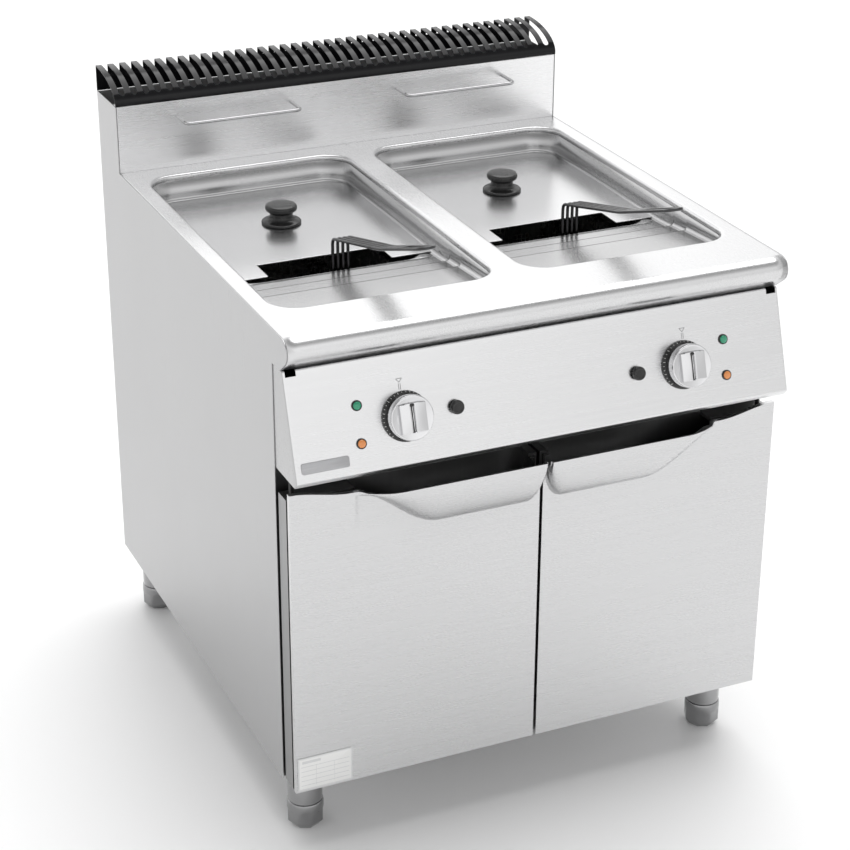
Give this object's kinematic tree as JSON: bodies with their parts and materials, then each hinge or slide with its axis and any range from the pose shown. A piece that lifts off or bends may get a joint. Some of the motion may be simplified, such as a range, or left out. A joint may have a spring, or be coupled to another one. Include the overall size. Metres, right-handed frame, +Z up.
{
  "type": "deep fryer",
  "caption": "Floor-standing electric catering fryer: stainless cabinet with twin lidded oil tanks, lift-out baskets, splashback with flue grille, turning knobs and hinged doors.",
  "frame": {"origin": "on the floor at the middle of the overall footprint", "axes": "+Z up, +X to the operator's right, +Y from the operator towards the back panel"},
  "size_m": [0.8, 0.9172, 1.005],
  "materials": {
    "brushed_steel_panel": "satin brushed stainless sheet",
    "polished_steel": "polished stainless",
    "chrome_trim": "mirror chrome",
    "black_enamel": "gloss vitreous enamel",
    "black_bakelite": "semi-gloss moulded",
    "green_lens": "clear tinted lens",
    "orange_lens": "clear tinted lens",
    "brass_valve": "machined",
    "red_grip": "dipped vinyl",
    "blank_plate": "matt film"
  },
  "bodies": {
    "cabinet": {"back_panel": "brushed_steel_panel", "badge": "blank_plate", "base_panel": "brushed_steel_panel", "control_panel": "brushed_steel_panel", "door_magnet": "black_bakelite", "drain_valve_left": "brass_valve", "drain_valve_right": "brass_valve", "flue_grille": "black_enamel", "front_frame": "brushed_steel_panel", "heating_element_left": "polished_steel", "heating_element_right": "polished_steel", "hinge_lower_left": "brushed_steel_panel", "hinge_lower_right": "brushed_steel_panel", "hinge_upper_left": "brushed_steel_panel", "hinge_upper_right": "brushed_steel_panel", "left_side_panel": "brushed_steel_panel", "leg_front_left": "polished_steel", "leg_front_right": "polished_steel", "leg_rear_left": "polished_steel", "leg_rear_right": "polished_steel", "pilot_green_left": "green_lens", "pilot_green_right": "green_lens", "pilot_orange_left": "orange_lens", "pilot_orange_right": "orange_lens", "right_side_panel": "brushed_steel_panel", "tank_left": "polished_steel", "tank_right": "polished_steel", "thermostat_left": "black_bakelite", "thermostat_right": "black_bakelite", "upstand": "brushed_steel_panel", "upstand_rail_left": "chrome_trim", "upstand_rail_right": "chrome_trim", "worktop": "brushed_steel_panel"},
    "door_left": {"door_skin_left": "brushed_steel_panel", "door_liner_left": "brushed_steel_panel", "rating_plate": "blank_plate"},
    "thermostat_knob_left": {"dial_left": "black_bakelite", "knob_left": "chrome_trim"},
    "reset_left": {"reset_button_left": "black_bakelite"},
    "fry_basket_left": {"basket_left": "polished_steel", "basket_handle_left": "polished_steel"},
    "tank_lid_left": {"lid_left": "polished_steel", "lid_knob_left": "black_bakelite"},
    "drain_left": {"drain_lever_left": "red_grip"},
    "door_right": {"door_skin_right": "brushed_steel_panel", "door_liner_right": "brushed_steel_panel"},
    "thermostat_knob_right": {"dial_right": "black_bakelite", "knob_right": "chrome_trim"},
    "reset_right": {"reset_button_right": "black_bakelite"},
    "fry_basket_right": {"basket_right": "polished_steel", "basket_handle_right": "polished_steel"},
    "tank_lid_right": {"lid_right": "polished_steel", "lid_knob_right": "black_bakelite"},
    "drain_right": {"drain_lever_right": "red_grip"},
    "foot_front_left_body": {"foot_front_left": "polished_steel"},
    "foot_front_right_body": {"foot_front_right": "polished_steel"},
    "foot_rear_left_body": {"foot_rear_left": "polished_steel"},
    "foot_rear_right_body": {"foot_rear_right": "polished_steel"}
  },
  "joints": [
    {"name": "door_left_hinge", "type": "hinge", "parent": "cabinet", "child": "door_left", "pos_m": [-0.385, -0.38143, 0.112], "axis": [0, 0, -1], "range_deg": [0, 110]},
    {"name": "knob_left_turn", "type": "hinge", "parent": "cabinet", "child": "thermostat_knob_left", "pos_m": [-0.225, -0.41992, 0.71023], "axis": [0, 0.9497, -0.313], "range_deg": [0, 270]},
    {"name": "reset_left_press", "type": "slide", "parent": "cabinet", "child": "reset_left", "axis": [0, 0.9497, -0.313], "range_m": [0, 0.0035], "stiffness_N_per_m": 800},
    {"name": "basket_left_lift", "type": "slide", "parent": "cabinet", "child": "fry_basket_left", "axis": [0, 0, 1], "range_m": [0, 0.25]},
    {"name": "lid_left_lift", "type": "slide", "parent": "fry_basket_left", "child": "tank_lid_left", "axis": [0, 0, 1], "range_m": [0, 0.15]},
    {"name": "drain_left_turn", "type": "hinge", "parent": "cabinet", "child": "drain_left", "pos_m": [-0.1965, -0.04743, 0.522], "axis": [0, 1, 0], "range_deg": [0, 90]},
    {"name": "door_right_hinge", "type": "hinge", "parent": "cabinet", "child": "door_right", "pos_m": [0.385, -0.38143, 0.112], "axis": [0, 0, 1], "range_deg": [0, 110]},
    {"name": "knob_right_turn", "type": "hinge", "parent": "cabinet", "child": "thermostat_knob_right", "pos_m": [0.225, -0.41992, 0.71023], "axis": [0, 0.9497, -0.313], "range_deg": [0, 270]},
    {"name": "reset_right_press", "type": "slide", "parent": "cabinet", "child": "reset_right", "axis": [0, 0.9497, -0.313], "range_m": [0, 0.0035], "stiffness_N_per_m": 800},
    {"name": "basket_right_lift", "type": "slide", "parent": "cabinet", "child": "fry_basket_right", "axis": [0, 0, 1], "range_m": [0, 0.25]},
    {"name": "lid_right_lift", "type": "slide", "parent": "fry_basket_right", "child": "tank_lid_right", "axis": [0, 0, 1], "range_m": [0, 0.15]},
    {"name": "drain_right_turn", "type": "hinge", "parent": "cabinet", "child": "drain_right", "pos_m": [0.1965, -0.04743, 0.522], "axis": [0, 1, 0], "range_deg": [0, 90]},
    {"name": "foot_front_left_screw", "type": "slide", "parent": "cabinet", "child": "foot_front_left_body", "axis": [0, 0, -1], "range_m": [0, 0.03]},
    {"name": "foot_front_right_screw", "type": "slide", "parent": "cabinet", "child": "foot_front_right_body", "axis": [0, 0, -1], "range_m": [0, 0.03]},
    {"name": "foot_rear_left_screw", "type": "slide", "parent": "cabinet", "child": "foot_rear_left_body", "axis": [0, 0, -1], "range_m": [0, 0.03]},
    {"name": "foot_rear_right_screw", "type": "slide", "parent": "cabinet", "child": "foot_rear_right_body", "axis": [0, 0, -1], "range_m": [0, 0.03]}
  ]
}
